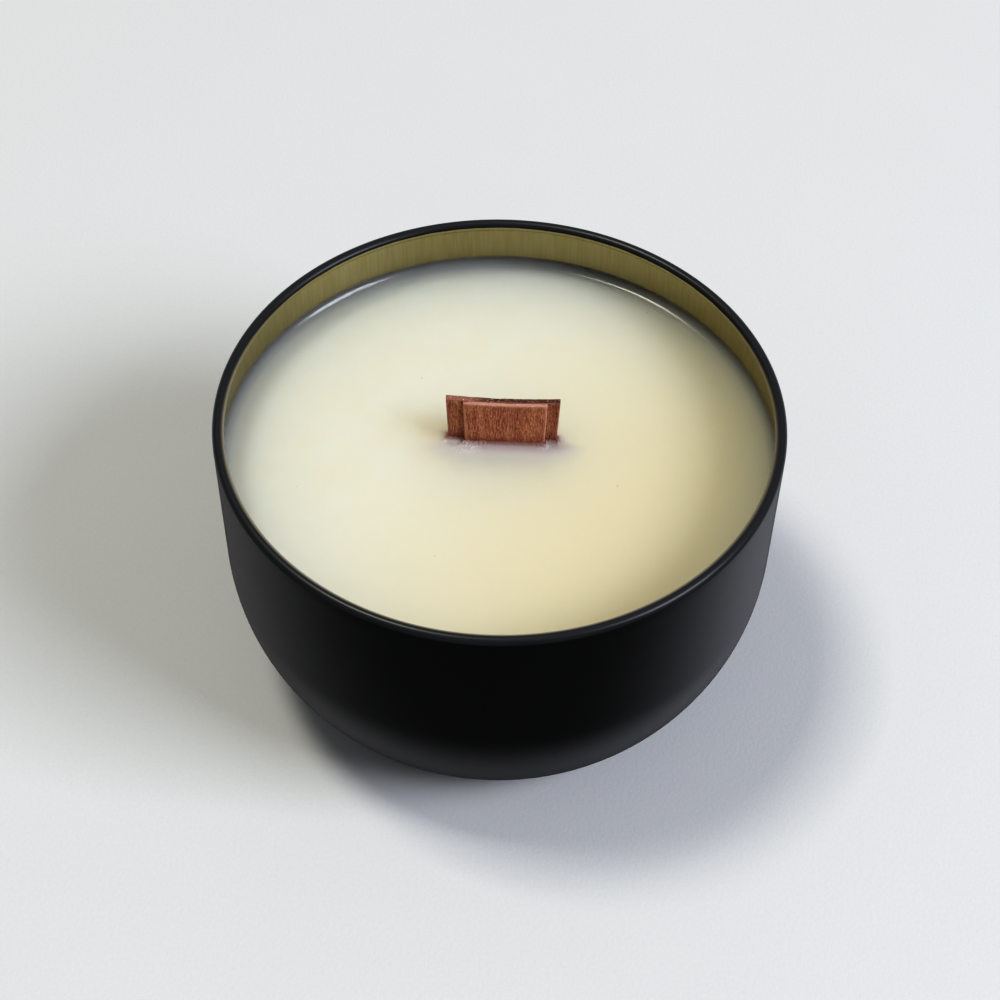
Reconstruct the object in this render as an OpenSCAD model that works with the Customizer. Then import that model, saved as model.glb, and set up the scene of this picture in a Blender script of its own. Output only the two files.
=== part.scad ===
// Candle tin: a seamless bowl-shaped tin with an inward curled rim, filled with wax round a wooden wick.
// The origin is at the centre of the tin's foot, +Z points up, and all sizes are in millimetres.

/* [Tin] */
// Outer diameter of the tin at its rim
rim_d = 96; // [80:1:116]
// Height of the tin from its foot to the top of its rim
tin_h = 57; // [46:1:70]
// Thickness of the steel sheet
sheet_t = 0.3; // [0.25:0.05:0.5]
// Diameter of the curled rim, measured across the roll
curl_d = 2; // [1.6:0.1:2.6]
// How far the curl wraps round, in degrees from its outer side
curl_wrap = 300; // [240:5:305]
// Radius of the bowl's lower side, seen in section
side_r = 41; // [34:1:50]
// Radius of the corner between the bowl's side and its foot
corner_r = 10; // [6:1:14]
// How far the outer edge of the flat foot sits in from the rim
foot_inset = 17.4; // [14:0.2:22]

/* [Foot] */
// Width of the flat ring that the tin stands on
foot_w = 5; // [3:0.5:7]
// Height of the recess under the tin's floor
floor_rise = 1; // [0.8:0.1:1.4]
// Radius of the bend where the floor's recess leaves the foot
foot_bend_r = 0.6; // [0.55:0.05:0.7]

/* [Wax] */
// Depth of the wax surface below the top of the rim
fill_gap = 10.9; // [7:0.1:16]
// Height and width of the meniscus that climbs the wall
meniscus = 1.6; // [1:0.1:2.2]
// Width of the meniscus at its top edge
meniscus_edge = 0.15; // [0.1:0.05:0.3]

/* [Wick] */
// Width of the wide strip
strip_w = 19; // [12:0.5:24]
// Thickness of the wide strip
strip_t = 1; // [0.8:0.1:1.6]
// Width of the narrow booster strip on the front
booster_w = 14; // [9:0.5:18]
// Thickness of the booster strip
booster_t = 0.8; // [0.6:0.1:1.2]
// How far the booster strip's middle sits to the right of the wide strip's middle
booster_x = 0.4; // [-1:0.1:1]
// Height of the wick's ends above the wax
wick_stand = 10.1; // [5:0.1:14]
// How far the trimmed top edge dips in the middle of the wide strip
trim_dip = 0.4; // [0.2:0.1:0.8]
// Turn of the wick about the tin's axis, in degrees
wick_turn = -1.8; // [-15:0.1:15]
// Place of the wick's middle to the right of the tin's axis
wick_x = 0.5; // [-3:0.1:3]
// Place of the wick's middle behind the tin's axis
wick_y = 3; // [-4:0.1:4]

/* [Clip] */
// Diameter of the clip's plate
clip_d = 32; // [28:1:36]
// Thickness of the clip's sheet
clip_t = 0.4; // [0.3:0.05:0.5]
// Width of the two upright flaps
flap_w = 12; // [8:0.5:14]
// Height of the flaps above the plate
flap_h = 8; // [5:0.5:9]
// Radius of the flaps' top corners
flap_corner_r = 1.5; // [1:0.1:2]
// Inner radius of the bends at the flaps' feet
bend_r = 0.4; // [0.3:0.05:0.5]
// Width of the cut between each flap's side and the plate
lance_gap = 0.3; // [0.2:0.1:0.6]
// Diameter of the adhesive disc under the clip
sticker_d = 22; // [18:1:26]
// Thickness of the adhesive disc
sticker_t = 0.5; // [0.3:0.1:1]

/* [Hidden] */
$fn = 180;

rim_r = rim_d / 2;
curl_r = curl_d / 2;
curl_x = rim_r - curl_r;
curl_z = tin_h - curl_r;

// The lower side is an arc that leaves the straight wall level with its own centre, and the corner
// arc is tangent to it and to the foot.
side_x = rim_r - side_r;
corner_x = rim_r - foot_inset;
corner_reach = side_r - corner_r;
side_z = corner_r + sqrt(pow(corner_reach, 2) - pow(corner_x - side_x, 2));
side_end = asin((side_z - corner_r) / corner_reach);

// The floor's step is two tangent quarter bends, with these centres.
step_x = corner_x - foot_w;
panel_x = step_x - floor_rise;
panel_bend_r = floor_rise - foot_bend_r;
floor_z = floor_rise + sheet_t;

wax_z = tin_h - fill_gap;

plate_z = floor_z + sticker_t;
wick_t = strip_t + booster_t;
wick_z = plate_z + clip_t + bend_r;
wick_top = wax_z + wick_stand;
trim_r = pow(strip_w, 2) / (8 * trim_dip);
// Length of plate that each flap was cut from, its bend included
flap_blank = 90 * PI / 180 * (bend_r + clip_t / 2) + flap_h - bend_r;

tin_black = [0.08, 0.08, 0.09];
wax_cream = [0.92, 0.88, 0.76];
wood_brown = [0.5, 0.25, 0.18];
booster_brown = [0.58, 0.31, 0.22];
clip_grey = [0.72, 0.72, 0.74];
sticker_white = [0.93, 0.92, 0.88];

// Half section of the solid bowl, with its outer surface moved in by inset. The lower side's arc ends
// on the line through both arcs' centres, where the corner's arc carries on.
module bowl_outline(inset) {
    far = 2 * side_r;
    intersection() {
        union() {
            translate([0, side_z])
                square([rim_r - inset, tin_h - side_z]);
            translate([0, inset])
                square([corner_x, tin_h - inset]);
            intersection() {
                translate([side_x, side_z])
                    circle(side_r - inset);
                polygon([
                    [corner_x, corner_r],
                    [side_x + far * cos(side_end), side_z - far * sin(side_end)],
                    [side_x + far, tin_h],
                    [corner_x - corner_r, tin_h],
                    [corner_x - corner_r, corner_r]
                ]);
            }
            translate([corner_x, corner_r])
                circle(corner_r - inset);
        }
        square([rim_r, tin_h]);
    }
}

// Half section of the space under the floor's raised panel, with its surface moved up by lift.
module panel_outline(lift) {
    low = foot_bend_r - lift;
    square([panel_x, floor_rise + lift]);
    square([step_x - low, foot_bend_r]);
    translate([panel_x, foot_bend_r])
        circle(panel_bend_r + lift);
    difference() {
        square([step_x, foot_bend_r]);
        translate([step_x, foot_bend_r])
            circle(low);
    }
}

// Half section of everything inside the sheet.
module cavity_outline() {
    difference() {
        bowl_outline(sheet_t);
        panel_outline(sheet_t);
    }
}

// Section of the curled rim: an open roll that goes over the top and back towards the wall.
module curl_outline() {
    far = 2 * curl_d;
    difference() {
        circle(curl_r);
        circle(curl_r - sheet_t);
        polygon([
            [0, 0],
            [far * cos(curl_wrap), far * sin(curl_wrap)],
            [far, -far],
            [far, 0]
        ]);
    }
}

module tin_shell() {
    color(tin_black)
        rotate_extrude() {
            difference() {
                bowl_outline(0);
                panel_outline(0);
                cavity_outline();
                translate([0, curl_z])
                    square([rim_r, curl_d]);
            }
            translate([curl_x, curl_z])
                curl_outline();
        }
}

// Half section of the wax: level on top, with a hollow round meniscus against the wall.
module wax_outline() {
    edge_x = rim_r - sheet_t - meniscus_edge;
    intersection() {
        cavity_outline();
        square([rim_r, wax_z]);
    }
    difference() {
        translate([edge_x - meniscus, wax_z - meniscus])
            square([meniscus + meniscus_edge, 2 * meniscus]);
        translate([edge_x - meniscus, wax_z + meniscus])
            circle(meniscus);
    }
}

module wax_fill() {
    color(wax_cream)
        difference() {
            rotate_extrude()
                wax_outline();
            strip_body();
            booster_body();
            clip_body();
            sticker_body();
        }
}

// Moves the wick and what stands it up to their place in the tin.
module in_wick_place() {
    translate([wick_x, wick_y, 0])
        rotate([0, 0, wick_turn])
            children();
}

// One upright strip, from the flaps' bends to the shared top edge, with its middle at middle_x and its
// front face at front_y.
module wood_blank(width, thickness, middle_x, front_y) {
    difference() {
        translate([middle_x - width / 2, front_y, wick_z])
            cube([width, thickness, wick_top - wick_z]);
        translate([0, front_y - thickness, wick_top - trim_dip + trim_r])
            rotate([-90, 0, 0])
                cylinder(r = trim_r, h = 3 * thickness);
    }
}

module strip_body() {
    in_wick_place()
        wood_blank(strip_w, strip_t, 0, booster_t - wick_t / 2);
}

module booster_body() {
    in_wick_place()
        wood_blank(booster_w, booster_t, booster_x, -wick_t / 2);
}

module wick_strip() {
    color(wood_brown)
        strip_body();
}

module wick_booster() {
    color(booster_brown)
        booster_body();
}

// A trough with two rounded lower corners, in section, standing on its own floor at 0.
module trough_outline(width, corner) {
    translate([-width / 2, corner])
        square([width, clip_t + flap_h - corner]);
    translate([corner - width / 2, 0])
        square([width - 2 * corner, corner]);
    for (side = [-1, 1])
        translate([side * (width / 2 - corner), corner])
            circle(corner);
}

// The two flaps and the strip of plate that joins them, bent from one sheet.
module clip_flaps() {
    rounded_z = clip_t + flap_h - flap_corner_r;
    intersection() {
        rotate([90, 0, 90])
            linear_extrude(flap_w, center = true)
                difference() {
                    trough_outline(wick_t + 2 * clip_t, bend_r + clip_t);
                    translate([0, clip_t])
                        trough_outline(wick_t, bend_r);
                }
        rotate([90, 0, 0])
            linear_extrude(2 * wick_t + 4 * clip_t, center = true) {
                translate([-flap_w / 2, -clip_t])
                    square([flap_w, rounded_z + clip_t]);
                translate([flap_corner_r - flap_w / 2, 0])
                    square([flap_w - 2 * flap_corner_r, clip_t + flap_h]);
                for (side = [-1, 1])
                    translate([side * (flap_w / 2 - flap_corner_r), rounded_z])
                        circle(flap_corner_r);
            }
    }
}

// The clip's round plate, with an open window on each side where a flap was cut and bent up.
module clip_plate() {
    bridge = wick_t / 2 - bend_r;
    window_w = flap_w + 2 * lance_gap;
    difference() {
        cylinder(d = clip_d, h = clip_t);
        for (side = [-1, 1])
            translate([-window_w / 2, side * (bridge + flap_blank / 2) - flap_blank / 2, -clip_t])
                cube([window_w, flap_blank, 3 * clip_t]);
    }
}

module clip_body() {
    in_wick_place()
        translate([0, 0, plate_z]) {
            clip_plate();
            clip_flaps();
        }
}

module wick_clip() {
    color(clip_grey)
        clip_body();
}

module sticker_body() {
    in_wick_place()
        translate([0, 0, floor_z])
            cylinder(d = sticker_d, h = sticker_t);
}

module clip_sticker() {
    color(sticker_white)
        sticker_body();
}

tin_shell();
wax_fill();
wick_strip();
wick_booster();
wick_clip();
clip_sticker();
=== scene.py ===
import logging
import math
from dataclasses import dataclass, field
from enum import Enum
from typing import Any, Callable, Iterable, Sequence

import bpy
from mathutils import Matrix, Vector, noise


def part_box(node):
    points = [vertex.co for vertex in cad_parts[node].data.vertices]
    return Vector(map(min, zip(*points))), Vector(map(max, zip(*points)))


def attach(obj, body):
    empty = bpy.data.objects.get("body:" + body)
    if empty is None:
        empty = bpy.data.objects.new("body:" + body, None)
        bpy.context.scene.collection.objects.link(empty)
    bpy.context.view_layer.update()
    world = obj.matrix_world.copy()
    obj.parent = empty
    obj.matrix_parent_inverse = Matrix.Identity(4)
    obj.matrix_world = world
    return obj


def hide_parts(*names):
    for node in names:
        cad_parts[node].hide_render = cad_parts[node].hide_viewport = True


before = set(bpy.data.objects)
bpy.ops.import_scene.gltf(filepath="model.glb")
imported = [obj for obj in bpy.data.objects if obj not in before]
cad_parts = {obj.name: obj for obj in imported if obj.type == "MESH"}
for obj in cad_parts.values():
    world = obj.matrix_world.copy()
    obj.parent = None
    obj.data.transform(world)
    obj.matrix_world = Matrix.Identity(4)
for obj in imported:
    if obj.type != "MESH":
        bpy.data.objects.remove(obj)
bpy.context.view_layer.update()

MM = 0.001
# Points closer than this, in metres, count as one
TINY = 1e-7
LOG = logging.getLogger("candle_tin")

Colour = tuple[float, float, float]
Point = tuple[float, float, float]


# Materials in plain expressions


class Value:
    """One socket of a material, which adds nodes as it is used in sums."""

    def __init__(self, graph: "Graph", socket: bpy.types.NodeSocket) -> None:
        """Wraps an output socket of one graph."""
        self.graph = graph
        self.socket = socket

    def _maths(self, operation: str, other: "Value | float") -> "Value":
        """Adds one Math node that starts from this value."""
        return self.graph.node("ShaderNodeMath", {"operation": operation}, {0: self, 1: other})

    def _maths_from(self, operation: str, first: float) -> "Value":
        """Adds one Math node that starts from a number and ends with this value."""
        return self.graph.node("ShaderNodeMath", {"operation": operation}, {0: first, 1: self})

    def __add__(self, other: "Value | float") -> "Value":
        """Sum."""
        return self._maths("ADD", other)

    __radd__ = __add__

    def __mul__(self, other: "Value | float") -> "Value":
        """Product."""
        return self._maths("MULTIPLY", other)

    __rmul__ = __mul__

    def __sub__(self, other: "Value | float") -> "Value":
        """Difference."""
        return self._maths("SUBTRACT", other)

    def __rsub__(self, other: float) -> "Value":
        """Difference from a number."""
        return self._maths_from("SUBTRACT", other)

    def __truediv__(self, other: "Value | float") -> "Value":
        """Quotient."""
        return self._maths("DIVIDE", other)

    def least(self, other: "Value | float") -> "Value":
        """The smaller of two values."""
        return self._maths("MINIMUM", other)

    def most(self, other: "Value | float") -> "Value":
        """The larger of two values."""
        return self._maths("MAXIMUM", other)

    def rise(self, low: float, high: float) -> "Value":
        """Climbs smoothly from 0 to 1 as this value goes from low to high, which may be below low."""
        inputs = {"Value": self, "From Min": low, "From Max": high}
        return self.graph.node("ShaderNodeMapRange", {"interpolation_type": "SMOOTHSTEP"}, inputs)


class Graph:
    """A node material that is being written."""

    def __init__(self, name: str) -> None:
        """Starts an empty material with one shader.

        Args:
            name: The material's name.
        """
        self.material = bpy.data.materials.new(name)
        self.material.use_nodes = True
        self.tree = self.material.node_tree
        self.tree.nodes.clear()
        self.output = self.tree.nodes.new("ShaderNodeOutputMaterial")
        self.shader = self.tree.nodes.new("ShaderNodeBsdfPrincipled")
        self.tree.links.new(self.shader.outputs[0], self.output.inputs["Surface"])

    def node(
        self,
        kind: str,
        settings: dict[str, Any] | None = None,
        inputs: dict[str | int, Any] | None = None,
        output: str | int = 0,
    ) -> Value:
        """Adds any node.

        Args:
            kind: The node's type.
            settings: Its settings, set first. A ramp's stops are pairs of a place and a colour.
            inputs: Its sockets' values or links, by name or by number.
            output: The socket that carries the result.

        Returns:
            The result.
        """
        made = self.tree.nodes.new(kind)
        for key, setting in (settings or {}).items():
            if key == "stops":
                self._set_stops(made.color_ramp, setting)
            else:
                setattr(made, key, setting)
        for key, value in (inputs or {}).items():
            self._feed(made.inputs[key], value)
        return Value(self, made.outputs[output])

    @staticmethod
    def _set_stops(ramp: bpy.types.ColorRamp, stops: Sequence[tuple[float, Sequence[float]]]) -> None:
        """Writes a colour ramp's stops.

        Args:
            ramp: The ramp.
            stops: Pairs of a place and a colour, in order.
        """
        while len(ramp.elements) < len(stops):
            ramp.elements.new(1.0)
        for element, (place, colour) in zip(ramp.elements, stops):
            element.position = place
            element.color = (*colour, 1.0)

    def _feed(self, socket: bpy.types.NodeSocket, value: Any) -> None:
        """Links or sets one socket.

        Args:
            socket: The socket.
            value: Another node's result to link, or a constant to set.
        """
        if isinstance(value, Value):
            self.tree.links.new(value.socket, socket)
        elif socket.type == "RGBA" and len(value) == 3:
            socket.default_value = (*value, 1.0)
        else:
            socket.default_value = value

    def set(self, **values: Any) -> None:
        """Sets or links the shader's sockets, named with underscores for spaces."""
        for key, value in values.items():
            self._feed(self.shader.inputs[key.replace("_", " ")], value)

    def place(self) -> Value:
        """The point on the piece, in metres, in the piece's own space."""
        return self.node("ShaderNodeTexCoord", output="Object")

    def axes(self, vector: Value) -> tuple[Value, Value, Value]:
        """Splits a vector.

        Args:
            vector: The vector.

        Returns:
            Its three numbers.
        """
        split = self.node("ShaderNodeSeparateXYZ", None, {0: vector})
        outputs = split.socket.node.outputs
        return tuple(Value(self, outputs[index]) for index in range(3))

    def scaled(self, vector: Value, scale: Sequence[float]) -> Value:
        """Stretches a vector along each axis."""
        return self.node("ShaderNodeVectorMath", {"operation": "MULTIPLY"}, {0: vector, 1: scale})

    def noise(self, vector: Value, size: float, detail: float = 2.0, rough: float = 0.5) -> Value:
        """Soft noise from 0 to 1 in lumps of one size, with detail finer layers that are rough strong."""
        inputs = {"Vector": vector, "Scale": 1 / size, "Detail": detail, "Roughness": rough}
        return self.node("ShaderNodeTexNoise", None, inputs)

    def mix(self, factor: Value | float, first: Any, second: Any) -> Value:
        """Mixes two colours: a factor of 0 gives the first, and 1 gives the second."""
        inputs = {0: factor, 6: first, 7: second}
        return self.node("ShaderNodeMix", {"data_type": "RGBA"}, inputs, output=2)

    def attribute(self, name: str) -> Value:
        """A number that the mesh carries at each of its points."""
        return self.node("ShaderNodeAttribute", {"attribute_name": name}, None, output="Fac")

    def bump(self, height: Value, depth: float, strength: float = 1.0) -> None:
        """Feeds the shader's normal from a relief in which a height of 1 is worth depth metres."""
        inputs = {"Height": height, "Distance": depth, "Strength": strength}
        self.set(Normal=self.node("ShaderNodeBump", None, inputs))

    def cover(self, factor: Value, colour: Value, roughness: float) -> None:
        """Lays a thin opaque film over the shader.

        Args:
            factor: 0 where the film is missing, 1 where it hides what is below.
            colour: The film's colour.
            roughness: The film's roughness.
        """
        inputs = {"Base Color": colour, "Roughness": roughness}
        film = self.node("ShaderNodeBsdfPrincipled", None, inputs)
        below = Value(self, self.shader.outputs[0])
        mixed = self.node("ShaderNodeMixShader", None, {0: factor, 1: below, 2: film})
        self.tree.links.new(mixed.socket, self.output.inputs["Surface"])


# Finishes


@dataclass(frozen=True)
class CoatedTin:
    """Black coat outside and over the rim, gold lacquer inside, on one sheet."""

    black: Colour = (0.0012, 0.0013, 0.0014)
    dusty: Colour = (0.014, 0.0145, 0.016)
    # Painted dim reflection, where the black coat faces the camera
    faced_reflection: Colour = (0.016, 0.0164, 0.0175)
    # Painted sheen that the black coat shows where it is seen at a grazing angle
    sheen_grey: Colour = (0.105, 0.103, 0.109)
    # Painted reflection of the room on the top of the rim's roll
    rim: Colour = (0.026, 0.027, 0.03)
    # Painted reflection of the wax in the inner side of the rim's roll
    wax_reflection: Colour = (0.34, 0.3, 0.23)
    gold: Colour = (0.32, 0.28, 0.13)
    gold_pale: Colour = (0.39, 0.35, 0.2)
    smudge: Point = (34 * MM, -33 * MM, 46 * MM)
    smudge_r: float = 8 * MM
    edge_wander: float = 0.25 * MM
    edge_blend: float = 0.04 * MM
    dust_full: float = 6.0
    matt: float = 0.5
    satin: float = 0.34
    shine: float = 0.06

    def material(self) -> bpy.types.Material:
        """Writes the material.

        Returns:
            The material. It reads the mesh's lining, the distance in from the coat's edge in metres,
            and its shoulder, which goes from 0 to 1 up the rim's roll.
        """
        graph = Graph("coated_tin")
        place = graph.place()
        _, _, z = graph.axes(place)
        lining = graph.attribute("lining")
        wander = (graph.noise(place, 4 * MM) - 0.5) * self.edge_wander
        inside = (lining + wander).rise(-self.edge_blend, self.edge_blend)
        grain = graph.noise(place, 0.35 * MM, 3.0)
        cloud = graph.noise(place, 14 * MM, 4.0)
        rubbed = graph.noise(graph.scaled(place, (1, 1, 0.25)), 3 * MM, 5.0, 0.65).rise(0.6, 0.78)
        foot = z.rise(0.25 * MM, 0.0) * 0.5
        ends = {0: place, 1: self.smudge}
        away = graph.node("ShaderNodeVectorMath", {"operation": "DISTANCE"}, ends, "Value")
        touched = away.rise(self.smudge_r, 1 * MM) * graph.noise(place, 1.3 * MM, 4.0, 0.7).rise(0.45, 0.75)
        dust = cloud.rise(0.35, 0.75) * 0.35 + rubbed * 0.25 + foot + touched * 4
        black = graph.mix(dust.least(self.dust_full) / self.dust_full, self.black, self.dusty)
        drawn = graph.noise(graph.scaled(place, (1, 1, 0.06)), 0.5 * MM, 3.0)
        gold = graph.mix(drawn.rise(0.3, 0.7) * 0.6 + cloud * 0.3, self.gold, self.gold_pale)
        shoulder = graph.attribute("shoulder")
        slant = graph.node("ShaderNodeLayerWeight", None, {"Blend": 0.5}, "Facing")
        # Painted shade: the painted sheen below is weaker towards the bottom of the bowl
        low = 0.2 + z.rise(6 * MM, 30 * MM) * 0.8
        # Painted dim reflection: the coat lifts a little, in clouds, where it faces the camera
        black = graph.mix(slant.rise(0.42, 0.1) * cloud.rise(0.2, 0.7), black, self.faced_reflection)
        # Painted sheen: the coat turns grey towards its edges as seen from the camera
        grazing_sheen = slant.rise(0.46, 0.84) * (1 - slant.rise(0.9, 1.0) * 0.6) * low
        black = graph.mix(grazing_sheen, black, self.sheen_grey)
        # Painted reflection: the roll of the rim turns grey towards its top
        black = graph.mix(shoulder, black, self.rim)
        # Painted reflection: a pale line of wax in the black roll just before the gold, where the roll is
        # seen at a slant
        wax_reflection = lining.rise(-1.25 * MM, -0.95 * MM) * slant.rise(0.25, 0.6)
        black = graph.mix(wax_reflection * 0.8, black, self.wax_reflection)
        matt = self.matt + cloud * 0.1 - shoulder * 0.14
        satin = self.satin + drawn * 0.12
        graph.set(
            Base_Color=graph.mix(inside, black, gold),
            Metallic=inside,
            Roughness=matt * (1 - inside) + satin * inside,
            Coat_Weight=shoulder * (1 - inside) * 0.6,
            Coat_Roughness=0.3,
            Specular_IOR_Level=self.shine,
        )
        graph.bump(grain * 0.7 + drawn * inside * 0.5, 0.006 * MM, 0.5)
        return graph.material


@dataclass(frozen=True)
class PouredWax:
    """Cream wax: smooth, a little translucent, faintly mottled where it cooled."""

    cream: Colour = (0.91, 0.84, 0.68)
    pale: Colour = (0.92, 0.86, 0.715)
    # Painted shade: the wax's colour in the rim's shadow, lit only by warm light
    rim_shade_yellow: Colour = (0.87, 0.75, 0.52)
    soaked: Colour = (0.36, 0.15, 0.12)
    # Pink near the wick: partly the wax film on the wood, partly a painted glow of the red wood through the
    # wax
    film: Colour = (0.56, 0.47, 0.48)
    # Painted shadow of the wick: lilac-grey wax round its foot and in front of it
    wick_shadow_lilac: Colour = (0.63, 0.605, 0.575)
    # Painted glints on the broken wax by the wick's front corners
    glint_white: Colour = (0.97, 0.96, 0.95)
    # Painted shadow of the wick: the warm tint of wax that only the warm light reaches
    wick_shadow_tan: Colour = (0.84, 0.66, 0.43)
    # Painted glow of the red wood, seen through the wax round the wick
    wood_glow_tint: Colour = (0.80, 0.56, 0.47)
    speck: Colour = (0.35, 0.28, 0.2)
    scatter: Colour = (1.0, 0.84, 0.7)
    scatter_depth: float = 36.0 * MM
    scatter_weight: float = 0.9
    speck_gap: float = 5 * MM

    def material(self) -> bpy.types.Material:
        """Writes the material.

        Returns:
            The material. It reads the mesh's reach and wall, the distances from the wick and from the
            tin's wall in metres, and its crust, which says how much broken wax has set.
        """
        graph = Graph("poured_wax")
        place = graph.place()
        reach = graph.attribute("reach")
        mottle = graph.noise(place, 9 * MM, 4.0, 0.55).rise(0.3, 0.7)
        near_wick = reach.rise(1.6 * MM, 0.0)
        speck_size = graph.noise(place, 2.4 * MM, 0.0)
        cells = {"Vector": place, "Scale": 1 / self.speck_gap}
        spots = graph.node("ShaderNodeTexVoronoi", {"feature": "F1"}, cells, "Distance")
        specks = spots.rise(0.035, 0.02) * speck_size.rise(0.55, 0.6)
        x, y, _ = graph.axes(place)
        # Painted shadow of the rim: the wax grows yellower and darker towards the right and front wall
        rim_shade = (x * 0.83 - y * 0.56 + mottle * 3 * MM).rise(-18 * MM, 34 * MM)
        tint = graph.mix(mottle, self.cream, self.pale)
        tint = graph.mix(rim_shade, tint, self.rim_shade_yellow)
        # Painted shadow of the wick, cast to its left on the wax
        wick_shadow = reach.rise(9 * MM, 0.0) * x.rise(-2 * MM, -13 * MM)
        tint = graph.mix(wick_shadow * 0.45, tint, self.wick_shadow_tan)
        # Painted glow of the wood in a ring of wax round the wick
        tint = graph.mix(near_wick * 0.6, tint, self.wood_glow_tint)
        tint = graph.mix(specks * 0.5, tint, self.speck)
        gloss = graph.noise(place, 5 * MM, 3.0)
        climbing = graph.attribute("wall").rise(2.2 * MM, 1.0 * MM)
        crumbs = graph.attribute("crust")
        grit = graph.noise(place, 0.45 * MM, 3.0, 0.7)
        # Painted glints: white specks where the broken wax lies
        painted_glints = crumbs * graph.noise(place, 0.3 * MM, 2.0, 0.6).rise(0.56, 0.64)
        tint = graph.mix(painted_glints, tint, self.glint_white)
        graph.set(
            Base_Color=tint,
            Roughness=((0.3 + gloss * 0.14) * (1 - climbing * 0.55) - crumbs * 0.25).most(0.1),
            Subsurface_Weight=self.scatter_weight,
            Subsurface_Radius=self.scatter,
            Subsurface_Scale=self.scatter_depth,
            Specular_IOR_Level=0.45,
        )
        relief = graph.noise(place, 1.2 * MM, 3.0) * 0.3 + mottle * 0.2
        graph.bump(relief + grit * (crumbs * 26 + climbing), 0.012 * MM)
        # Cover near the wick: reddish where the wax film lies on the wood, then the painted pink glow, then
        # the painted lilac shadow of the wick
        film = graph.mix(reach.rise(0.0, 0.8 * MM), self.soaked, self.film)
        film = graph.mix(reach.rise(0.7 * MM, 2.8 * MM), film, self.wick_shadow_lilac)
        film = graph.mix(painted_glints, film, self.glint_white)
        # Painted shadow of the wick, cast forwards onto the wax in front of it
        before = y.rise(3 * MM, 1 * MM) * reach.rise(6 * MM, 1 * MM) * 0.75
        graph.cover((reach.rise(1.6 * MM, 0.2 * MM) * 0.8).most(before), film, 0.3)
        return graph.material


@dataclass(frozen=True)
class SawnWood:
    """Thin reddish wood with upright grain, paler where its edges are worn."""

    name: str
    dark: Colour
    middle: Colour
    light: Colour
    cut_tone: Colour
    worn: Colour = (0.56, 0.31, 0.22)
    ochre: Colour = (0.38, 0.23, 0.09)
    glint: Colour = (0.9, 0.78, 0.72)
    wear_width: float = 0.3 * MM
    wear_depth: float = 0.4
    seed: float = 0.0

    def material(self) -> bpy.types.Material:
        """Writes the material.

        Returns:
            The material. It reads the mesh's edge and above, the distances to the nearest edge and up
            from the wax in metres, and its cut, which is 1 on the cut top.
        """
        graph = Graph(self.name)
        place = graph.place()
        inputs = {0: place, 1: (self.seed, 0, self.seed)}
        moved = graph.node("ShaderNodeVectorMath", {"operation": "ADD"}, inputs)
        along = graph.scaled(moved, (1, 1, 0.09))
        fibre = graph.noise(along, 0.16 * MM, 4.0, 0.7)
        band = graph.noise(along, 1.1 * MM, 2.0)
        fleck = graph.noise(graph.scaled(moved, (1, 1, 0.3)), 0.22 * MM, 3.0, 0.6)
        tone = (fibre * 0.5 + band * 0.25 + fleck * 0.5 - 0.12).rise(0.31, 0.69)
        ramp = {"stops": [(0.0, self.dark), (0.5, self.middle), (1.0, self.light)]}
        wood = graph.node("ShaderNodeValToRGB", ramp, {0: tone})
        dotted = graph.noise(moved, 0.24 * MM, 2.0, 0.6)
        wood = graph.mix(dotted.rise(0.56, 0.66) * 0.45, wood, self.ochre)
        soaked = graph.attribute("above").rise(3.0 * MM, 0.2 * MM)
        wood = graph.mix(soaked * 0.6, wood, self.dark)
        chipped = graph.noise(moved, 0.4 * MM, 3.0) * 0.3 * MM
        wear = (graph.attribute("edge") + chipped).rise(self.wear_width + 0.2 * MM, 0.16 * MM)
        colour = graph.mix(wear * self.wear_depth, wood, self.worn)
        x, _, _ = graph.axes(place)
        end_grain = graph.attribute("cut") * (0.3 + x.rise(-6 * MM, -2 * MM) * 0.7)
        cut = end_grain * (1.2 - dotted.rise(0.4, 0.6) * 0.6).least(1.0)
        colour = graph.mix(cut, colour, self.cut_tone)
        colour = graph.mix(wear * dotted.rise(0.64, 0.72) * 0.8, colour, self.glint)
        graph.set(Base_Color=colour, Roughness=0.62 + fleck * 0.2, Specular_IOR_Level=0.3)
        graph.bump(fibre * 0.7 + fleck * 0.5, 0.09 * MM, 0.8)
        return graph.material


@dataclass(frozen=True)
class Tinplate:
    """Bright plated sheet with fine rolling marks."""

    metal: Colour = (0.62, 0.62, 0.63)
    dull: Colour = (0.42, 0.42, 0.44)

    def material(self) -> bpy.types.Material:
        """Writes the material.

        Returns:
            The material.
        """
        graph = Graph("tinplate")
        place = graph.place()
        rolled = graph.noise(graph.scaled(place, (0.05, 1, 1)), 0.2 * MM, 4.0)
        cloud = graph.noise(place, 4 * MM, 3.0)
        graph.set(
            Base_Color=graph.mix(cloud.rise(0.4, 0.7), self.metal, self.dull),
            Metallic=1.0,
            Roughness=0.26 + rolled * 0.2,
        )
        graph.bump(rolled, 0.004 * MM, 0.6)
        return graph.material


@dataclass(frozen=True)
class AdhesiveFoam:
    """Matte white foam disc with fine open cells."""

    white: Colour = (0.82, 0.81, 0.77)
    shade: Colour = (0.66, 0.65, 0.6)
    cell: float = 0.3 * MM

    def material(self) -> bpy.types.Material:
        """Writes the material.

        Returns:
            The material.
        """
        graph = Graph("adhesive_foam")
        place = graph.place()
        inputs = {"Vector": place, "Scale": 1 / self.cell}
        cells = graph.node("ShaderNodeTexVoronoi", None, inputs, "Distance")
        graph.set(Base_Color=graph.mix(cells.rise(0.5, 0.1), self.white, self.shade), Roughness=0.85)
        graph.bump(cells, 0.05 * MM, 0.7)
        return graph.material


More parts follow.
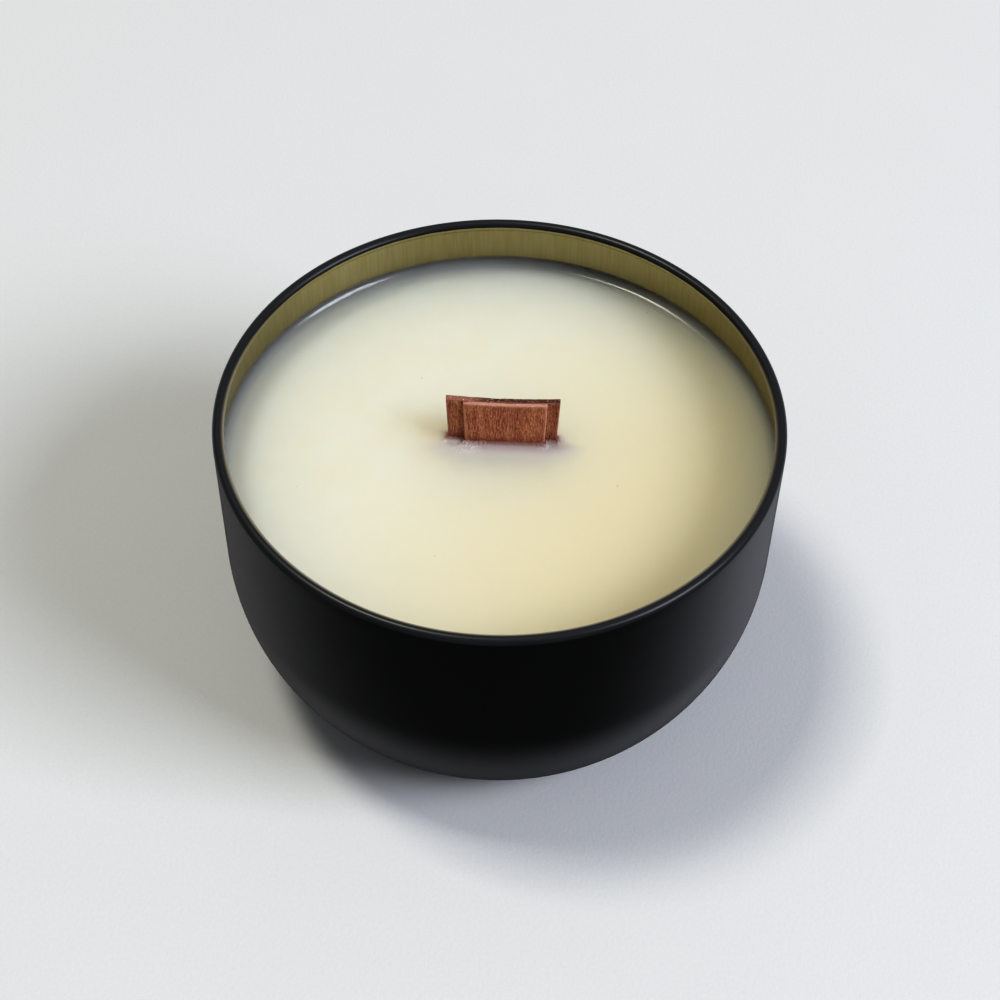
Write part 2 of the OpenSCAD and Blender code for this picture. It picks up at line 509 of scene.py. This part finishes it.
@dataclass(frozen=True)
class PaleTable:
    """Pale matte table top with a fine paper-like grain."""

    pale: Colour = (0.8, 0.805, 0.815)
    grey: Colour = (0.76, 0.765, 0.775)

    def material(self) -> bpy.types.Material:
        """Writes the material.

        Returns:
            The material.
        """
        graph = Graph("pale_table")
        place = graph.place()
        grain = graph.noise(place, 0.7 * MM, 4.0, 0.65)
        cloud = graph.noise(place, 30 * MM, 3.0)
        graph.set(
            Base_Color=graph.mix(grain.rise(0.3, 0.7) * 0.5 + cloud * 0.4, self.pale, self.grey),
            Roughness=0.7,
            Specular_IOR_Level=0.3,
        )
        graph.bump(grain, 0.09 * MM, 0.6)
        return graph.material


# Meshes


@dataclass
class Surface:
    """Points, faces and point attributes of a mesh that is being written."""

    points: list[Point] = field(default_factory=list)
    faces: list[tuple[int, ...]] = field(default_factory=list)
    marks: dict[str, list[float]] = field(default_factory=dict)

    def add(self, point: Sequence[float], **marks: float) -> int:
        """Adds a point.

        Args:
            point: Its place in metres.
            marks: What its attributes say there.

        Returns:
            Its number.
        """
        self.points.append(tuple(point))
        for key, value in marks.items():
            self.marks.setdefault(key, []).append(value)
        return len(self.points) - 1

    def strip(self, first: Sequence[int], second: Sequence[int]) -> None:
        """Joins two closed rings of points with a band of faces.

        Args:
            first: The numbers of one ring's points, or of its single point.
            second: The same for the other ring.
        """
        count = max(len(first), len(second))
        for step in range(count):
            after = (step + 1) % count
            loop = [first[step % len(first)], first[after % len(first)]]
            loop += [second[after % len(second)], second[step % len(second)]]
            self.faces.append(tuple(dict.fromkeys(loop)))

    def build(self, name: str, material: bpy.types.Material, sharp: float = 40.0) -> bpy.types.Object:
        """Makes the Blender object.

        Args:
            name: The piece's name.
            material: Its finish.
            sharp: The angle above which an edge stays sharp, in degrees.

        Returns:
            The object.
        """
        mesh = bpy.data.meshes.new(name)
        mesh.from_pydata(self.points, [], self.faces)
        for key, values in self.marks.items():
            layer = mesh.attributes.new(key, "FLOAT", "POINT")
            layer.data.foreach_set("value", values)
        mesh.polygons.foreach_set("use_smooth", [True] * len(mesh.polygons))
        mesh.set_sharp_from_angle(angle=math.radians(sharp))
        mesh.materials.append(material)
        mesh.validate()
        mesh.update()
        piece = bpy.data.objects.new(name, mesh)
        bpy.context.scene.collection.objects.link(piece)
        return piece


@dataclass(frozen=True)
class Stop:
    """One point of a half section: its radius, its height and its attributes."""

    r: float
    z: float
    marks: tuple[tuple[str, float], ...] = ()


def arc(centre: tuple[float, float], radius: float, start: float, end: float, steps: int) -> list[Stop]:
    """Points along an arc of a half section, its angles in degrees from outwards, turning upwards."""
    turns = [math.radians(start + (end - start) * step / steps) for step in range(steps + 1)]
    return [Stop(centre[0] + radius * math.cos(t), centre[1] + radius * math.sin(t)) for t in turns]


def line(start: Stop, end: Stop, steps: int) -> list[Stop]:
    """Points along a straight stretch of a half section, both ends included."""
    shares = [step / steps for step in range(steps + 1)]
    return [Stop(start.r + (end.r - start.r) * s, start.z + (end.z - start.z) * s) for s in shares]


def joined(stretches: Iterable[Sequence[Stop]]) -> list[Stop]:
    """Joins stretches end to end and leaves out points that fall on the one before.

    Args:
        stretches: The stretches in order.

    Returns:
        Their points in one list.
    """
    section: list[Stop] = []
    for stop in (stop for stretch in stretches for stop in stretch):
        if section and math.hypot(stop.r - section[-1].r, stop.z - section[-1].z) < TINY:
            continue
        section.append(stop)
    return section


def lathe(section: Sequence[Stop], segments: int) -> Surface:
    """Turns a half section about the upright axis.

    Args:
        section: The section's points in order. Its first and last lie on the axis.
        segments: How many parts the turn is cut into.

    Returns:
        The closed surface.
    """
    surface = Surface()
    turns = [2 * math.pi * step / segments for step in range(segments)]
    rings = []
    for stop in section:
        around = turns if stop.r > TINY else turns[:1]
        marks = dict(stop.marks)
        points = [(stop.r * math.cos(t), stop.r * math.sin(t), stop.z) for t in around]
        rings.append([surface.add(point, **marks) for point in points])
    for first, second in zip(rings, rings[1:]):
        surface.strip(first, second)
    return surface


# The tin


@dataclass
class TinShell:
    """The drawn bowl with its inward curl. Its rim and height come from the frame."""

    rim_r: float
    height: float
    sheet: float = 0.3 * MM
    curl_r: float = 1.0 * MM
    curl_wrap: float = 300.0
    coat_end: float = 168.0
    side_r: float = 41 * MM
    corner_r: float = 10 * MM
    foot_inset: float = 17.4 * MM
    foot_w: float = 5 * MM
    floor_rise: float = 1 * MM
    foot_bend_r: float = 0.6 * MM
    segments: int = 288

    def __post_init__(self) -> None:
        """Works out the arcs' centres."""
        reach = self.side_r - self.corner_r
        self.side_x = self.rim_r - self.side_r
        self.corner_x = self.rim_r - self.foot_inset
        self.side_z = self.corner_r + math.sqrt(reach**2 - (self.corner_x - self.side_x) ** 2)
        self.side_end = math.degrees(math.asin((self.side_z - self.corner_r) / reach))
        self.curl_x = self.rim_r - self.curl_r
        self.curl_z = self.height - self.curl_r
        self.step_x = self.corner_x - self.foot_w
        self.panel_x = self.step_x - self.floor_rise

    def panel(self, lift: float) -> list[Stop]:
        """The floor from the axis out to the foot.

        Args:
            lift: How far the floor's surface is moved up.

        Returns:
            Its points.
        """
        upper = self.floor_rise - self.foot_bend_r + lift
        return joined(
            [
                line(Stop(0, self.floor_rise + lift), Stop(self.panel_x, self.floor_rise + lift), 6),
                arc((self.panel_x, self.foot_bend_r), upper, 90, 0, 6),
                arc((self.step_x, self.foot_bend_r), self.foot_bend_r - lift, 180, 270, 6),
            ]
        )

    def side(self, inset: float) -> list[Stop]:
        """The foot, the corner, the lower side and the straight wall.

        Args:
            inset: How far the surface is moved in.

        Returns:
            Their points, from the foot up.
        """
        return joined(
            [
                line(Stop(self.step_x, inset), Stop(self.corner_x, inset), 4),
                arc((self.corner_x, self.corner_r), self.corner_r - inset, 270, 360 - self.side_end, 14),
                arc((self.side_x, self.side_z), self.side_r - inset, -self.side_end, 0, 24),
                line(Stop(self.rim_r - inset, self.side_z), Stop(self.rim_r - inset, self.curl_z), 12),
            ]
        )

    def section(self) -> list[Stop]:
        """The whole half section, from the axis round the sheet and back to the axis.

        Returns:
            Its points, marked for the coat.
        """
        middle = (self.curl_x, self.curl_z)
        outside = joined([self.panel(0), self.side(0), arc(middle, self.curl_r, 0, self.coat_end, 28)])
        lining = joined(
            [
                arc(middle, self.curl_r, self.coat_end, self.curl_wrap, 22),
                arc(middle, self.curl_r - self.sheet, self.curl_wrap, 0, 30),
                reversed(self.side(self.sheet)),
                reversed(self.panel(self.sheet)),
            ]
        )
        return self._marked(outside, -1.0) + self._marked(lining, 1.0)[1:]

    def _marked(self, stops: Sequence[Stop], sign: float) -> list[Stop]:
        """Marks points with their distance along the sheet from the coat's edge, and up the rim's roll.

        Args:
            stops: The points in order.
            sign: 1 for the lining, which starts at the coat's edge, or -1 for the coat, which ends there.

        Returns:
            The marked points, in the same order.
        """
        ordered = list(stops) if sign > 0 else list(stops)[::-1]
        done, reach, before = [], 0.0, ordered[0]
        for stop in ordered:
            reach += math.hypot(stop.r - before.r, stop.z - before.z)
            rolled = min(1.0, max(0.0, (stop.z - self.curl_z) / self.curl_r))
            done.append(Stop(stop.r, stop.z, (("lining", sign * reach), ("shoulder", rolled))))
            before = stop
        return done if sign > 0 else done[::-1]

    def build(self) -> bpy.types.Object:
        """Makes the tin and puts it in place of its plain node.

        Returns:
            The piece.
        """
        surface = lathe(self.section(), self.segments)
        piece = surface.build("tin", CoatedTin().material())
        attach(piece, "root")
        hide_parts("tin_shell")
        return piece


# The wick


class WickFace(Enum):
    """Which strip of the wick a piece is."""

    STRIP = "wick_strip"
    BOOSTER = "wick_booster"


@dataclass
class Placement:
    """Where the wick stands and how it is turned about the upright axis."""

    x: float = 0.5 * MM
    y: float = 3.0 * MM
    turn: float = math.radians(-1.8)

    def out(self, u: float, v: float) -> tuple[float, float]:
        """Takes a point from the wick's own plan to the tin's."""
        cos, sin = math.cos(self.turn), math.sin(self.turn)
        return self.x + u * cos - v * sin, self.y + u * sin + v * cos

    def back(self, x: float, y: float) -> tuple[float, float]:
        """Takes a point from the tin's plan to the wick's own.

        Args:
            x: Its place across the tin.
            y: Its place from front to back.

        Returns:
            Its place along the wick and through it.
        """
        cos, sin = math.cos(self.turn), math.sin(self.turn)
        x, y = x - self.x, y - self.y
        return x * cos + y * sin, y * cos - x * sin


@dataclass
class WoodStrip:
    """One thin strip, trimmed by hand, with fibres that stand a little proud."""

    face: WickFace
    width: float
    thickness: float
    front: float
    foot_z: float
    wax_z: float
    top_z: float
    place: Placement
    trim_r: float
    trim_dip: float
    middle: float = 0.0
    flare: float = 0.02
    edge_r: float = 0.09 * MM
    fibre: float = 0.05 * MM
    cell: float = 0.16 * MM

    def _stations(self, length: float, cell: float) -> list[float]:
        """Places along one side, close together at its ends so that the edges can be rounded.

        Args:
            length: The side's length.
            cell: The gap aimed at between two places.

        Returns:
            The places, from 0 to the length.
        """
        near = [0.0, self.edge_r / 2, self.edge_r]
        count = max(2, round((length - 2 * self.edge_r) / cell))
        gap = (length - 2 * self.edge_r) / count
        middle = [self.edge_r + gap * step for step in range(1, count)]
        return near + middle + [length - spot for spot in reversed(near)]

    def _heights(self) -> list[float]:
        """Places up the strip: a few below the wax, many above it.

        Returns:
            The places, from the strip's foot.
        """
        visible = self.top_z - self.wax_z + 1.0 * MM
        above = self._stations(visible, self.cell * 1.5)[3:]
        base = self.top_z - self.foot_z - visible
        return [0.0, self.edge_r, base / 2, base] + [base + spot for spot in above]

    def _shaped(self, u: float, v: float, w: float) -> Point:
        """Rounds the edges, trims the top and lifts the fibres at one point of the blank.

        Args:
            u: Place across the strip, from its middle.
            v: Place through the strip, from its front face.
            w: Place up the strip, from its foot.

        Returns:
            The point in the tin's space.
        """
        height = self.top_z - self.foot_z
        inner = Vector(
            (
                max(-self.width / 2 + self.edge_r, min(self.width / 2 - self.edge_r, u)),
                max(self.edge_r, min(self.thickness - self.edge_r, v)),
                max(self.edge_r, min(height - self.edge_r, w)),
            )
        )
        offset = Vector((u, v, w)) - inner
        point = inner + offset.normalized() * self.edge_r if offset.length > 0 else inner
        share = max(0.0, min(1.0, (self.foot_z + w - self.wax_z) / (self.top_z - self.wax_z)))
        dip = self.trim_r - math.sqrt(self.trim_r**2 - (u + self.middle) ** 2) - self.trim_dip
        seed = 7.0 if self.face is WickFace.STRIP else 19.0
        ragged = noise.noise(Vector((u / (1.3 * MM), v / (2 * MM), seed))) * 0.22 * MM
        ragged += noise.noise(Vector((u / (0.35 * MM), v / (0.5 * MM), seed))) * 0.16 * MM
        drop = dip - max(0.0, ragged) - 0.02 * MM
        lift = noise.noise(Vector((u / (0.35 * MM), seed, w / (5 * MM)))) * self.fibre
        lift += noise.noise(Vector((u / (0.12 * MM), seed, w / (2 * MM)))) * self.fibre * 0.5
        side = -1.0 if v < self.thickness / 2 else 1.0
        spread = 1 + self.flare * (2 * share - 1)
        through = self.front + point.y - side * abs(lift) * share
        x, y = self.place.out(self.middle + point.x * spread, through)
        return x, y, self.foot_z + point.z + drop * share

    def build(self, finish: SawnWood, slot: str) -> bpy.types.Object:
        """Makes the strip and puts it in place of its plain node.

        Args:
            finish: The strip's wood.
            slot: The record's slot for that wood, which is not used.

        Returns:
            The piece.
        """
        across = [spot - self.width / 2 for spot in self._stations(self.width, self.cell)]
        through = self._stations(self.thickness, self.cell * 1.5)
        upwards = self._heights()
        surface = Surface()
        numbers: dict[tuple[int, int, int], int] = {}

        def point(i: int, j: int, k: int) -> int:
            """Finds one lattice point, and adds it when it is first used.

            Args:
                i: Its place in across.
                j: Its place in through.
                k: Its place in upwards.

            Returns:
                Its number in the mesh.
            """
            if (i, j, k) not in numbers:
                u, v, w = across[i], through[j], upwards[k]
                near = min(self.width / 2 - abs(u), self.top_z - self.foot_z - w)
                above = self.foot_z + w - self.wax_z
                cut = 1.0 if k == len(upwards) - 1 and 0 < j < len(through) - 1 else 0.0
                numbers[i, j, k] = surface.add(self._shaped(u, v, w), edge=near, cut=cut, above=above)
            return numbers[i, j, k]

        def sheet(first: range, second: range, spot: Callable[[int, int], int], flip: bool) -> None:
            """Adds one side of the strip.

            Args:
                first: The cells along it.
                second: The cells up or through it.
                spot: Finds a point's number from its two places on the side.
                flip: Whether the faces are turned over to look outwards.
            """
            for a in first:
                for b in second:
                    loop = (spot(a, b), spot(a + 1, b), spot(a + 1, b + 1), spot(a, b + 1))
                    surface.faces.append(loop[::-1] if flip else loop)

        ni, nj, nk = len(across) - 1, len(through) - 1, len(upwards) - 1
        sheet(range(ni), range(nk), lambda a, b: point(a, 0, b), False)
        sheet(range(ni), range(nk), lambda a, b: point(a, nj, b), True)
        sheet(range(nj), range(nk), lambda a, b: point(0, a, b), True)
        sheet(range(nj), range(nk), lambda a, b: point(ni, a, b), False)
        sheet(range(ni), range(nj), lambda a, b: point(a, b, 0), True)
        sheet(range(ni), range(nj), lambda a, b: point(a, b, nk), False)
        piece = surface.build(self.face.value + "_wood", finish.material())
        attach(piece, "root")
        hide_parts(self.face.value)
        return piece


# The wax


@dataclass
class WaxFill:
    """The poured wax: it climbs the wall and the wick, and it fills the bowl below."""

    shell: TinShell
    level: float
    strip: WoodStrip
    booster: WoodStrip
    around: int = 384
    rise: float = 1.6 * MM
    rise_r: float = 2.2 * MM
    climb: float = 0.75 * MM
    climb_reach: float = 0.55 * MM
    wall_gap: float = 0.01 * MM

    @property
    def wall_r(self) -> float:
        """Radius of the wax where it meets the straight wall."""
        return self.shell.rim_r - self.shell.sheet - self.wall_gap

    def footprint(self) -> list[tuple[float, float]]:
        """The wick's outline in its own plan.

        Returns:
            Its corners, anticlockwise from the middle of its front.
        """
        front, step = self.booster.front, self.strip.front
        back = self.strip.front + self.strip.thickness
        left = self.booster.middle - self.booster.width / 2
        right = self.booster.middle + self.booster.width / 2
        half = self.strip.width / 2
        corners = [(0, front), (right, front), (right, step), (half, step), (half, back)]
        return corners + [(-half, back), (-half, step), (left, step), (left, front)]

    def outline(self) -> list[tuple[float, float]]:
        """Points spread evenly round the wick's footprint, its corners included.

        Returns:
            The points, in the wick's own plan.
        """
        corners = self.footprint()
        sides = list(zip(corners, corners[1:] + corners[:1]))
        lengths = [math.dist(a, b) for a, b in sides]
        counts = [max(2, round(self.around * length / sum(lengths))) for length in lengths]
        # The longest side, at the back, takes up what the rounding leaves over.
        longest = lengths.index(max(lengths))
        counts[longest] += self.around - sum(counts)
        points = []
        for ((ax, ay), (bx, by)), count in zip(sides, counts):
            points += [(ax + (bx - ax) * s / count, ay + (by - ay) * s / count) for s in range(count)]
        return points

    def reach(self, u: float, v: float) -> float:
        """Measures how far a point is from the wick.

        Args:
            u: The point's place along the wick.
            v: The point's place through it.

        Returns:
            The distance from the wick's footprint, 0 inside it.
        """
        distances = []
        for blank in (self.strip, self.booster):
            du = max(0.0, abs(u - blank.middle) - blank.width / 2)
            dv = max(0.0, blank.front - v, v - blank.front - blank.thickness)
            distances.append(math.hypot(du, dv))
        return min(distances)

    def height(self, x: float, y: float) -> float:
        """Works out the height of the wax's surface.

        Args:
            x: Place across the tin.
            y: Place from front to back.

        Returns:
            The height there.
        """
        radius = math.hypot(x, y)
        from_wall = max(0.0, self.wall_r - radius)
        width = math.sqrt(self.rise_r**2 - (self.rise_r - self.rise) ** 2)
        bent = max(0.0, width - from_wall)
        rise = self.rise_r - math.sqrt(self.rise_r**2 - bent**2)
        u, v = self.strip.place.back(x, y)
        reach = self.reach(u, v)
        spot = Vector((x, y, 0.0))
        lumps = noise.noise(spot / (0.9 * MM)) * 0.5 + noise.noise(spot / (0.35 * MM)) * 0.5
        climb = self.climb * math.exp(-reach / self.climb_reach) * (1 + 0.35 * lumps)
        crust = self.crust(u, v) * (0.55 + lumps) * 0.3 * MM
        sag = noise.noise(spot / (17 * MM)) * 0.09 * MM + noise.noise(spot / (6 * MM)) * 0.02 * MM
        still = min(1.0, from_wall / (3 * MM))
        return self.level + rise + climb + crust + sag * still

    def crust(self, u: float, v: float) -> float:
        """Says how much broken wax has set, in two spots by the wick's front corners.

        Args:
            u: Place along the wick.
            v: Place through it.

        Returns:
            About 1 in the middle of a spot, falling to 0 round it.
        """
        left = math.hypot((u + 6.0 * MM) / (2.4 * MM), (v + 2.0 * MM) / (1.1 * MM))
        right = math.hypot((u - 7.6 * MM) / (1.0 * MM), (v + 1.1 * MM) / (0.8 * MM))
        return math.exp(-(left**2)) + 0.8 * math.exp(-(right**2))

    def shares(self) -> list[float]:
        """How far out each ring lies. The rings are closer together where the surface bends.

        Returns:
            The rings' places, from 0 at the wick to 1 at the wall.
        """
        span = self.wall_r - self.strip.width / 2
        gaps, gap = [], 0.07 * MM
        while sum(gaps) < span:
            gaps.append(gap)
            left = span - sum(gaps)
            gap = min(gap * 1.09, 0.65 * MM, max(0.06 * MM, left * 0.16))
        total, done, shares = sum(gaps), 0.0, [0.0]
        for gap in gaps:
            done += gap
            shares.append(done / total)
        return shares

    def build(self) -> bpy.types.Object:
        """Makes the wax and puts it in place of its plain node.

        Returns:
            The piece.
        """
        surface = Surface()
        place = self.strip.place
        inner = [place.out(u, v) for u, v in self.outline()]
        steps = range(self.around)
        turns = [2 * math.pi * step / self.around - math.pi / 2 + place.turn for step in steps]
        outer = [(self.wall_r * math.cos(t), self.wall_r * math.sin(t)) for t in turns]
        rings = []
        buried = {"reach": 0.0, "wall": self.wall_r, "crust": 0.0}
        foot = [surface.add((x, y, self.strip.foot_z), **buried) for x, y in inner]
        for share in self.shares():
            ring = []
            for (ax, ay), (bx, by) in zip(inner, outer):
                x, y = ax + (bx - ax) * share, ay + (by - ay) * share
                u, v = place.back(x, y)
                wall = self.wall_r - math.hypot(x, y)
                marks = {"reach": self.reach(u, v), "wall": wall, "crust": self.crust(u, v)}
                ring.append(surface.add((x, y, self.height(x, y)), **marks))
            rings.append(ring)
        surface.faces.append(tuple(foot))
        surface.strip(rings[0], foot)
        for first, second in zip(rings, rings[1:]):
            surface.strip(second, first)
        below = rings[-1]
        hidden = {"reach": self.wall_r, "wall": 0.0, "crust": 0.0}
        for stop in self.underside():
            spots = [(stop.r * math.cos(t), stop.r * math.sin(t), stop.z) for t in turns]
            if stop.r < TINY:
                spots = [(0.0, 0.0, stop.z)]
            ring = [surface.add(spot, **hidden) for spot in spots]
            surface.strip(ring, below)
            below = ring
        piece = surface.build("wax", PouredWax().material(), sharp=60.0)
        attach(piece, "root")
        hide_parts("wax_fill")
        return piece

    def underside(self) -> list[Stop]:
        """The wax's section below its edge.

        Returns:
            Its points, down the wall and in over the floor.
        """
        inset = self.shell.sheet + self.wall_gap
        wall = [stop for stop in reversed(self.shell.side(inset)) if stop.z < self.level]
        return wall + list(reversed(self.shell.panel(inset)))


# The studio


@dataclass(frozen=True)
class SoftLight:
    """A flat lamp that points at the tin's mouth."""

    name: str
    azimuth: float
    elevation: float
    distance: float
    size: tuple[float, float]
    power: float
    colour: Colour

    def build(self, target: Vector) -> bpy.types.Object:
        """Hangs the lamp.

        Args:
            target: The point that it lights.

        Returns:
            The lamp.
        """
        turn, lift = math.radians(self.azimuth), math.radians(self.elevation)
        towards = Vector((math.cos(turn) * math.cos(lift), math.sin(turn) * math.cos(lift), math.sin(lift)))
        lamp = bpy.data.lights.new(self.name, "AREA")
        lamp.shape = "RECTANGLE"
        lamp.size, lamp.size_y = self.size
        lamp.energy = self.power
        lamp.color = self.colour
        made = bpy.data.objects.new(self.name, lamp)
        made.location = target + towards * self.distance
        made.rotation_euler = towards.to_track_quat("Z", "Y").to_euler()
        bpy.context.scene.collection.objects.link(made)
        return made


@dataclass
class Studio:
    """Table, lamps, surrounding light and camera. Angles are in degrees, the lens in millimetres."""

    mouth: Vector
    lens: float = 72.0
    elevation: float = 47.25
    roll: float = 0.893
    distance: float = 334.7 * MM
    tilt: float = -2.568
    table_half: float = 2.5
    surround: Colour = (0.97, 0.98, 1.0)
    surround_strength: float = 0.168
    lamps: tuple[SoftLight, ...] = (
        SoftLight("cool_side_lamp", -22.6, 38.3, 2.5, (1.12, 1.03), 32.6, (0.966, 1.0, 1.11)),
        SoftLight("warm_top_lamp", 160.4, 71.7, 2.5, (0.52, 0.6), 18.7, (1.01, 1.0, 0.86)),
    )

    def build_table(self) -> bpy.types.Object:
        """Lays the table under the tin.

        Returns:
            The table.
        """
        half = self.table_half
        surface = Surface()
        corners = ((-half, -half), (half, -half), (half, half), (-half, half))
        surface.faces.append(tuple(surface.add((x, y, 0.0)) for x, y in corners))
        table = surface.build("table", PaleTable().material())
        return table

    def build_surround(self) -> None:
        """Sets the even light that comes from all round."""
        world = bpy.data.worlds.new("studio")
        world.use_nodes = True
        background = world.node_tree.nodes["Background"]
        background.inputs["Color"].default_value = (*self.surround, 1.0)
        background.inputs["Strength"].default_value = self.surround_strength
        bpy.context.scene.world = world
        bpy.context.scene.view_settings.view_transform = "Standard"
        bpy.context.scene.view_settings.look = "High Contrast"

    def build_camera(self) -> bpy.types.Object:
        """Stands the camera above and in front of the tin.

        Returns:
            The camera.
        """
        lift = math.radians(self.elevation)
        towards = Vector((0, -math.cos(lift), math.sin(lift)))
        right = Vector((1, 0, 0))
        up = towards.cross(right)
        facing = Matrix((right, up, towards)).transposed().to_4x4()
        roll = Matrix.Rotation(math.radians(self.roll), 4, "Z")
        tilt = Matrix.Rotation(math.radians(self.tilt), 4, "X")
        camera = bpy.data.objects.new("camera", bpy.data.cameras.new("camera"))
        camera.data.lens = self.lens
        camera.data.clip_start = 0.01
        stand = Matrix.Translation(self.mouth + towards * self.distance)
        camera.matrix_world = stand @ facing @ roll @ tilt
        bpy.context.scene.collection.objects.link(camera)
        bpy.context.scene.camera = camera
        return camera

    def build(self) -> list[bpy.types.Object]:
        """Sets up the whole studio.

        Returns:
            The table, the camera and the lamps.
        """
        self.build_surround()
        return [self.build_table(), self.build_camera()] + [lamp.build(self.mouth) for lamp in self.lamps]


# Assembly


@dataclass
class CandleTin:
    """The whole candle, sized from the frame."""

    strip_w: float = 19 * MM
    strip_t: float = 1.0 * MM
    booster_w: float = 14 * MM
    booster_t: float = 0.8 * MM
    trim_dip: float = 0.4 * MM
    booster_x: float = 0.4 * MM
    booster_edge_r: float = 0.24 * MM
    meniscus: float = 1.6 * MM

    def __post_init__(self) -> None:
        """Reads the frame."""
        _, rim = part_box("tin_shell")
        self.shell = TinShell(rim_r=rim.x, height=rim.z)
        low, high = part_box("wick_strip")
        self.foot_z = low.z
        self.top_z = high.z
        self.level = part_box("wax_fill")[1].z - self.meniscus

    def strips(self) -> tuple[WoodStrip, WoodStrip]:
        """Sizes the wick.

        Returns:
            The wide strip and its booster.
        """
        front = -(self.strip_t + self.booster_t) / 2
        common = {
            "foot_z": self.foot_z,
            "wax_z": self.level,
            "top_z": self.top_z,
            "place": Placement(),
            "trim_r": self.strip_w**2 / (8 * self.trim_dip),
            "trim_dip": self.trim_dip,
        }
        strip = WoodStrip(WickFace.STRIP, self.strip_w, self.strip_t, front + self.booster_t, **common)
        common["middle"] = self.booster_x
        common["edge_r"] = self.booster_edge_r
        booster = WoodStrip(WickFace.BOOSTER, self.booster_w, self.booster_t, front, **common)
        return strip, booster

    def build(self) -> list[bpy.types.Object]:
        """Builds and dresses every piece.

        Returns:
            The pieces, the plain nodes that stay among them.
        """
        strip, booster = self.strips()
        wood = SawnWood(
            "wide_strip_wood",
            dark=(0.1, 0.028, 0.018),
            middle=(0.36, 0.12, 0.075),
            light=(0.6, 0.3, 0.17),
            cut_tone=(0.07, 0.022, 0.018),
            seed=0.031,
        )
        front_wood = SawnWood(
            "booster_wood",
            dark=(0.15, 0.038, 0.022),
            middle=(0.44, 0.155, 0.09),
            light=(0.68, 0.35, 0.2),
            cut_tone=(0.6, 0.33, 0.25),
            wear_width=0.6 * MM,
            wear_depth=0.65,
            seed=0.077,
        )
        made = [
            self.shell.build(),
            WaxFill(self.shell, self.level, strip, booster).build(),
            strip.build(wood, "wick_wood"),
            booster.build(front_wood, "booster_wood"),
        ]
        for node, finish in (("wick_clip", Tinplate()), ("clip_sticker", AdhesiveFoam())):
            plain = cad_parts[node]
            plain.data.materials.clear()
            plain.data.materials.append(finish.material())
            made.append(plain)
        return made


def main() -> None:
    """Builds the candle, then the studio round it, and reports each piece."""
    logging.basicConfig(level=logging.INFO, format="%(name)s: %(message)s")
    candle = CandleTin()
    for piece in candle.build():
        LOG.info("%s: %d faces", piece.name, len(piece.data.polygons))
    for item in Studio(mouth=Vector((0, 0, candle.shell.height))).build():
        LOG.info("studio: %s", item.name)


if __name__ == "__main__":
    main()
